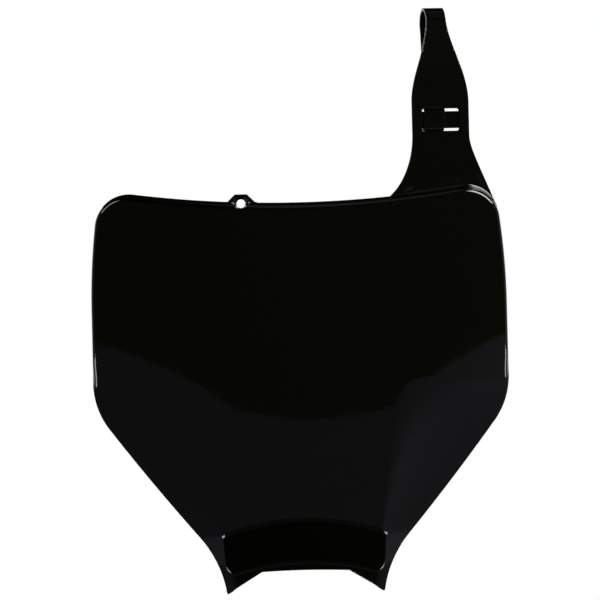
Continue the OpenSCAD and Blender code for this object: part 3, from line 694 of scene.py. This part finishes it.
board = make_mesh("board_shell", verts, faces)


# Prisms with rounded edges: tab and keeper bar
def rounded_prism(outline, depth, e, middle=None, steps=3):
    """A plate from an outline, its edges rounded, z from 0 to depth; its ends fan from a middle."""
    p = np.array(outline)
    L = len(p)
    d = unit(np.roll(p, -1, 0) - np.roll(p, 1, 0))
    out = np.stack([d[:, 1], -d[:, 0]], -1)
    # rings just beside the rounded edges keep the smooth shading off the flats
    near = 0.1
    rings = [(p - out * (e + near), 0.0)]
    for f in np.linspace(0, 90, steps + 1):
        rings.append((p - out * e * (1 - sin(f)), e * (1 - cos(f))))
    rings += [(p, e + near), (p, depth - e - near)]
    for f in np.linspace(90, 0, steps + 1):
        rings.append((p - out * e * (1 - sin(f)), depth - e * (1 - cos(f))))
    rings.append((p - out * (e + near), depth))
    v, cells = [], []
    for pts, z in rings:
        v += [(a, b, z) for a, b in pts]
    for q in range(len(rings) - 1):
        for i in range(L):
            i2 = (i + 1) % L
            cells.append((q * L + i, q * L + i2, (q + 1) * L + i2, (q + 1) * L + i))
    mid_x, mid_y = p.mean(0) if middle is None else middle
    low, high, last = len(v), len(v) + 1, (len(rings) - 1) * L
    v += [(mid_x, mid_y, 0.0), (mid_x, mid_y, depth)]
    for i in range(L):
        i2 = (i + 1) % L
        cells += [(low, i2, i), (high, last + i, last + i2)]
    return np.array(v), cells


def dense(outline, step=0.5):
    """The outline with points no more than about a step apart."""
    out = []
    for a, b in zip(outline, outline[1:] + outline[:1]):
        a, b = np.array(a, float), np.array(b, float)
        n = max(1, int(np.linalg.norm(b - a) / step))
        out += [tuple(mix(a, b, i / n)) for i in range(n)]
    return out


def top_edge_z(x):
    return top_cz - math.sqrt(top_edge_r**2 - x * x)


tab_y = sag(tab_x) + rim_d - tab_set_in
tab_top_z = top_edge_z(tab_x) + tab_h
tab_base_z = top_edge_z(tab_x - tab_w / 2)
tab_root_z = tab_base_z - tab_root_h
hole_z = tab_top_z - tab_hole_drop
tab_cc = np.array([tab_top_w / 2, tab_top_z - tab_corner_r])
tab_slope = np.array([tab_w / 2, tab_base_z]) - tab_cc
tab_slope_a = (math.degrees(math.atan2(tab_slope[1], tab_slope[0]))
               + math.degrees(math.acos(tab_corner_r / np.linalg.norm(tab_slope))))
tab_foot_c = np.array([tab_w / 2 + tab_foot_r * (1 - sin(tab_slope_a)) / cos(tab_slope_a),
                       tab_base_z + tab_foot_r])
half_tab = ([(tab_foot_c[0], tab_root_z)]
            + [tuple(tab_foot_c + tab_foot_r * turn(a))
               for a in np.linspace(-90, tab_slope_a - 180, 9)]
            + [tuple(tab_cc + tab_corner_r * turn(a)) for a in np.linspace(tab_slope_a, 90, 9)])
tab_outline = half_tab + [(-x, z) for x, z in half_tab[::-1]]
tv, tf = rounded_prism(dense(tab_outline), tab_t, tab_edge_r, (0, hole_z))
tab_v = np.stack([tv[:, 0] - tab_x, tab_y + tab_t - tv[:, 2], tv[:, 1]], -1) * MM
tab = make_mesh("tab", tab_v, tf)

# The solid foot that joins the tab to the back of the face
foot_sink = 0.7
tab_foot_y = sag(tab_x) + wall * foot_sink
tab_mid_y = tab_y + tab_t / 2
foot_top_z = tab_root_z + tab_foot_h
foot_outline = [(-tab_w / 2, tab_root_z), (tab_w / 2, tab_root_z),
                (tab_w / 2, foot_top_z), (-tab_w / 2, foot_top_z)]
fv, ff = rounded_prism(dense(foot_outline), tab_mid_y - tab_foot_y, foot_edge_r)
foot_v = np.stack([fv[:, 0] - tab_x, tab_mid_y - fv[:, 2], fv[:, 1]], -1) * MM
tab_foot = make_mesh("tab_foot", foot_v, ff)

# The keeper bar behind the window, its ends sunk a little into the strap's back
bar_sink = 0.1
bar_x, bar_front, bar_back = window_w / 2 + bar_lap, strap_t - bar_sink, strap_t + bar_t
bar_outline = [(bar_x, bar_front), (bar_x, bar_back), (-bar_x, bar_back), (-bar_x, bar_front)]
bv, bf = rounded_prism(dense(bar_outline), bar_top - bar_low, bar_edge_r)
bar_v = to_world(bv[:, 0], bv[:, 1], bv[:, 2] + bar_low) * MM
bar = make_mesh("keeper_bar", bar_v, bf)

# The hole: a seat let into the rim and the tab, a countersink and the bore
seat_y, cut_front, cut_back = tab_y + seat_depth, -8.0, 20.0
profile = [(cut_front, tab_seat_d / 2), (seat_y, tab_seat_d / 2),
           (seat_y + sink_d, tab_hole_d / 2), (cut_back, tab_hole_d / 2)]
TURNS = 64
ang = np.linspace(0, 2 * math.pi, TURNS + 1)[:-1]
hv = [(-tab_x + r * math.cos(a), y, hole_z + r * math.sin(a)) for y, r in profile for a in ang]
hf = [(q * TURNS + i, (q + 1) * TURNS + i,
       (q + 1) * TURNS + (i + 1) % TURNS, q * TURNS + (i + 1) % TURNS)
      for q in range(len(profile) - 1) for i in range(TURNS)]
hf += [tuple(range(TURNS)), tuple(range(len(hv) - 1, len(hv) - 1 - TURNS, -1))]
cutter = make_mesh("cutter", np.array(hv) * MM, hf)
cutter.hide_render = True
for ob in (board, tab, tab_foot, bar):
    smooth(ob)
for ob in (board, tab, tab_foot):
    mod = ob.modifiers.new("hole", "BOOLEAN")
    mod.operation, mod.solver, mod.object = "DIFFERENCE", "MANIFOLD", cutter
    dg = bpy.context.evaluated_depsgraph_get()
    cut = bpy.data.meshes.new_from_object(ob.evaluated_get(dg))
    ob.modifiers.clear()
    ob.data = cut
bpy.data.objects.remove(cutter)


# Gloss black plastic
def gloss_black(name):
    mat = bpy.data.materials.new(name)
    mat.use_nodes = True
    nt = mat.node_tree
    bsdf = nt.nodes["Principled BSDF"]
    bsdf.inputs["Base Color"].default_value = (0.0012, 0.0012, 0.0008, 1)
    bsdf.inputs["IOR"].default_value = 1.49
    co = nt.nodes.new("ShaderNodeTexCoord")
    # faint flow of the moulding in the gloss
    n1 = nt.nodes.new("ShaderNodeTexNoise")
    n1.inputs["Scale"].default_value = 40
    n1.inputs["Detail"].default_value = 4
    nt.links.new(co.outputs["Object"], n1.inputs["Vector"])
    mr = nt.nodes.new("ShaderNodeMapRange")
    mr.inputs["From Min"].default_value = 0.3
    mr.inputs["From Max"].default_value = 0.7
    mr.inputs["To Min"].default_value = 0.015
    mr.inputs["To Max"].default_value = 0.03
    nt.links.new(n1.outputs["Fac"], mr.inputs["Value"])
    nt.links.new(mr.outputs["Result"], bsdf.inputs["Roughness"])
    # very slight waviness, as the surface of a moulded sheet has
    n2 = nt.nodes.new("ShaderNodeTexNoise")
    n2.inputs["Scale"].default_value = 600
    n2.inputs["Detail"].default_value = 2
    nt.links.new(co.outputs["Object"], n2.inputs["Vector"])
    bump = nt.nodes.new("ShaderNodeBump")
    bump.inputs["Strength"].default_value = 0.01
    bump.inputs["Distance"].default_value = 0.0002
    nt.links.new(n2.outputs["Fac"], bump.inputs["Height"])
    nt.links.new(bump.outputs["Normal"], bsdf.inputs["Normal"])
    return mat


plastic = gloss_black("gloss_black_plastic")
for ob in (board, tab, tab_foot, bar):
    ob.data.materials.clear()
    ob.data.materials.append(plastic)
    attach(ob, "root")
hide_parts("number_board")
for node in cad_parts.values():
    node.data.materials.clear()
    node.data.materials.append(plastic)


# Floor, backdrop and studio
def grow_right(nt, strength, right):
    """Light that grows from one strength to another with the angle to the right of the front."""
    co = nt.nodes.new("ShaderNodeTexCoord")
    xyz = nt.nodes.new("ShaderNodeSeparateXYZ")
    ahead = nt.nodes.new("ShaderNodeMath")
    ahead.operation = "MULTIPLY"
    ahead.inputs[1].default_value = -1
    front = nt.nodes.new("ShaderNodeMath")
    front.operation = "MAXIMUM"
    front.inputs[1].default_value = 0.3
    angle = nt.nodes.new("ShaderNodeMath")
    angle.operation = "ARCTAN2"
    mr = nt.nodes.new("ShaderNodeMapRange")
    mr.inputs["From Min"].default_value = 0.3
    mr.inputs["From Max"].default_value = 0.85
    mr.inputs["To Min"].default_value = strength
    mr.inputs["To Max"].default_value = right
    nt.links.new(co.outputs["Object"], xyz.inputs["Vector"])
    nt.links.new(xyz.outputs["Y"], ahead.inputs[0])
    nt.links.new(xyz.outputs["X"], angle.inputs[0])
    nt.links.new(ahead.outputs[0], front.inputs[0])
    nt.links.new(front.outputs[0], angle.inputs[1])
    nt.links.new(angle.outputs[0], mr.inputs["Value"])
    return mr.outputs["Result"]


def flat_material(name, color, mirrored, strength, right):
    """White paper; the gloss mirrors it as painted light, an even grey glow that grows to the
    right.
    """
    mat = bpy.data.materials.new(name)
    mat.use_nodes = True
    nt = mat.node_tree
    bsdf = nt.nodes["Principled BSDF"]
    bsdf.inputs["Base Color"].default_value = (*color, 1)
    bsdf.inputs["Roughness"].default_value = 0.8
    bsdf.inputs["Specular IOR Level"].default_value = 0.1
    # painted light: the grey glow that glossy rays see on the paper, in place of lit paper
    grey = nt.nodes.new("ShaderNodeEmission")
    grey.inputs["Color"].default_value = (*mirrored, 1)
    nt.links.new(grow_right(nt, strength, right), grey.inputs["Strength"])
    em = nt.nodes.new("ShaderNodeEmission")
    em.inputs["Color"].default_value = (1, 1, 1, 1)
    lp = nt.nodes.new("ShaderNodeLightPath")
    mirror = nt.nodes.new("ShaderNodeMixShader")
    mx = nt.nodes.new("ShaderNodeMixShader")
    nt.links.new(lp.outputs["Is Glossy Ray"], mirror.inputs["Fac"])
    nt.links.new(bsdf.outputs[0], mirror.inputs[1])
    nt.links.new(grey.outputs[0], mirror.inputs[2])
    nt.links.new(lp.outputs["Is Camera Ray"], mx.inputs["Fac"])
    nt.links.new(mirror.outputs[0], mx.inputs[1])
    nt.links.new(em.outputs[0], mx.inputs[2])
    nt.links.new(mx.outputs[0], nt.nodes["Material Output"].inputs["Surface"])
    return mat


def quad(name, pts, mat):
    """A band between two edges: the first half of the points runs out, the second half back."""
    n = len(pts)
    ob = make_mesh(name, np.array(pts, float),
                   [(i, i + 1, n - 2 - i, n - 1 - i) for i in range(n // 2 - 1)])
    ob.data.materials.append(mat)
    return ob


floor_gap, mat_gap = 0.0005, 0.001
floor_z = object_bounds()[0].z - floor_gap
mat_z = floor_z + mat_gap
GREY, GREY_MID, GREY_RIGHT = (0.93, 0.95, 1.1), 0.105, 0.225
OLIVE = (0.85, 1.0, 0.45)
# the floor's grey in the gloss is painted light, and it grows to the right
quad("floor", [(-3, -4, floor_z), (3, -4, floor_z), (3, 1.2, floor_z), (-3, 1.2, floor_z)],
     flat_material("floor_paper", (0.13, 0.13, 0.14), GREY, GREY_MID, GREY_RIGHT))
world = bpy.data.worlds.new("studio")
bpy.context.scene.world = world
world.use_nodes = True
wn = world.node_tree
bg = wn.nodes["Background"]
bg.inputs["Color"].default_value = (0.004, 0.004, 0.004, 1)
bg.inputs["Strength"].default_value = 1.0
white = wn.nodes.new("ShaderNodeBackground")
white.inputs["Color"].default_value = (1, 1, 1, 1)
wlp = wn.nodes.new("ShaderNodeLightPath")
wmx = wn.nodes.new("ShaderNodeMixShader")
wn.links.new(wlp.outputs["Is Camera Ray"], wmx.inputs["Fac"])
wn.links.new(bg.outputs[0], wmx.inputs[1])
wn.links.new(white.outputs[0], wmx.inputs[2])
wn.links.new(wmx.outputs[0], wn.nodes["World Output"].inputs["Surface"])


def card(name, color, strength, pts, right=None):
    """A plain lit card for the gloss to mirror; to the right it can within to another strength."""
    mat = bpy.data.materials.new(name)
    mat.use_nodes = True
    nt = mat.node_tree
    nt.nodes.clear()
    em = nt.nodes.new("ShaderNodeEmission")
    em.inputs["Color"].default_value = (*color, 1)
    em.inputs["Strength"].default_value = strength
    if right is not None:
        nt.links.new(grow_right(nt, strength, right), em.inputs["Strength"])
    out = nt.nodes.new("ShaderNodeOutputMaterial")
    nt.links.new(em.outputs[0], out.inputs["Surface"])
    ob = quad(name, pts, mat)
    ob.visible_camera = False
    return ob


def curved_card(name, color, strength, radius, reach, low, high, right=None):
    """A card bent round the front of the object, between two heights given over its angle."""
    a = np.linspace(-reach, reach, 65)
    x, y = radius * sin(a), -radius * cos(a)
    lower = [(u, v, w) for u, v, w in zip(x, y, low(a))]
    upper = [(u, v, w) for u, v, w in zip(x, y, high(a))]
    return card(name, color, strength, lower + upper[::-1], right)


# White backdrop behind the object, which the rims mirror
card("backdrop", (1, 1, 1), 1.0,
     [(-2.2, 1.1, floor_z), (2.2, 1.1, floor_z), (2.2, 1.1, 0.5), (-2.2, 1.1, 0.5)])


# A low grey sweep round the front, which the lower half of the face mirrors, and a dark wall
def sweep_top(a):
    angle = [-37, -33, -29, -24, -18, -12, 0, 8, 14, 17, 20, 23.5, 27.5, 31, 35, 37]
    height = [0.125, 0.117, 0.109, 0.100, 0.082, 0.0625, 0.052, 0.055,
              0.059, 0.063, 0.067, 0.083, 0.099, 0.107, 0.117, 0.124]
    return np.interp(a, angle, height)


wall_top, wall_overlap = 0.4, 0.01
curved_card("sweep", GREY, GREY_MID, 2.0, 82, lambda a: 0 * a + mat_z, sweep_top, GREY_RIGHT)
curved_card("wall", OLIVE, 0.05, 2.05, 70,
            lambda a: sweep_top(a) - wall_overlap, lambda a: wall_top + 0 * a)
# Dim cards that the leaning part of the strap and the loop's top mirror
card("strap_card", (0.9, 1.0, 0.7), 0.055,
     [(0.138, -0.384, 0.305), (0.358, -0.286, 0.305), (0.358, -0.286, 0.54), (0.138, -0.384, 0.54)])
card("loop_card", OLIVE, 0.06,
     [(0.32, -1.05, 1.35), (0.50, 0.7, 1.95), (0.50, 1.12, 0.5),
      (0.90, 1.12, 0.5), (0.90, 0.7, 1.75), (0.66, -1.05, 1.2)])
# A dim ceiling for the rolled top edge, and a dark mat that the lip and the prongs' tips mirror
card("ceiling", (0.95, 1.0, 0.9), 0.22,
     [(-0.2, -2.5, 2.2), (0.5, -2.5, 2.2), (0.5, 0.4, 2.2), (-0.2, 0.4, 2.2)])
card("dark_mat", OLIVE, 0.03,
     [(-0.055, -0.01, mat_z), (-0.27, -0.62, mat_z), (0.27, -0.62, mat_z), (0.055, -0.01, mat_z)])
# Grey cards at both sides, which the walls beside the prongs mirror
for x, light in ((-1.7, 0.2), (1.7, 0.3)):
    card("side_card", GREY, light,
         [(x, -0.7, floor_z), (x, 0.9, floor_z), (x, 0.9, 0.9), (x, -0.7, 0.9)])



def placed(x, y, z, where):
    """A matrix with the given axes and place."""
    return Matrix.Translation(where) @ Matrix((x, y, z)).transposed().to_4x4()


# Camera: the photograph's view, level with the middle of the picture and rolled a little
DIST, FACE_BEHIND, PICTURE_W, SENSOR = 4.0, 0.012, 0.36, 36
cam_data = bpy.data.cameras.new("camera")
cam = bpy.data.objects.new("camera", cam_data)
bpy.context.scene.collection.objects.link(cam)
cam_data.sensor_width = SENSOR
cam_data.lens = SENSOR * (DIST + FACE_BEHIND) / PICTURE_W
aim = Vector((0.00057, 0.0, 0.1604))
up = Vector((0.02444, 0, 1)).normalized()
back = Vector((0, -1, 0))
right = up.cross(back).normalized()
cam.matrix_world = placed(right, up, back, aim + back * DIST)
cam_data.clip_end = 50
bpy.context.scene.camera = cam


def softbox(name, where, size, power, along, target=(0, 0, 0.12)):
    """A rectangular lamp facing the target, its width as near the given direction as can be."""
    data = bpy.data.lights.new(name, "AREA")
    data.shape = "RECTANGLE"
    data.size, data.size_y = size
    data.energy = power
    ob = bpy.data.objects.new(name, data)
    z = (Vector(where) - Vector(target)).normalized()
    y = z.cross(Vector(along)).normalized()
    x = y.cross(z)
    ob.matrix_world = placed(x, y, z, where)
    bpy.context.scene.collection.objects.link(ob)
    return ob


softbox("key_left", (-1.4, -0.7, 1.1), (0.8, 0.5), 9, (0.6, 0, 0.8))
softbox("key_right", (1.262, -0.55, 1.338), (1.36, 1.0), 60, (-0.69, 0, 0.72))
# Two low lamps that glint in the rounded corners of the chin
for side in (-1, 1):
    softbox("low_lamp", (side * 1.3, -0.68, 0.06), (0.55, 0.11), 1.5, (0, 1, 0))

scene = bpy.context.scene
scene.view_settings.view_transform = "Standard"
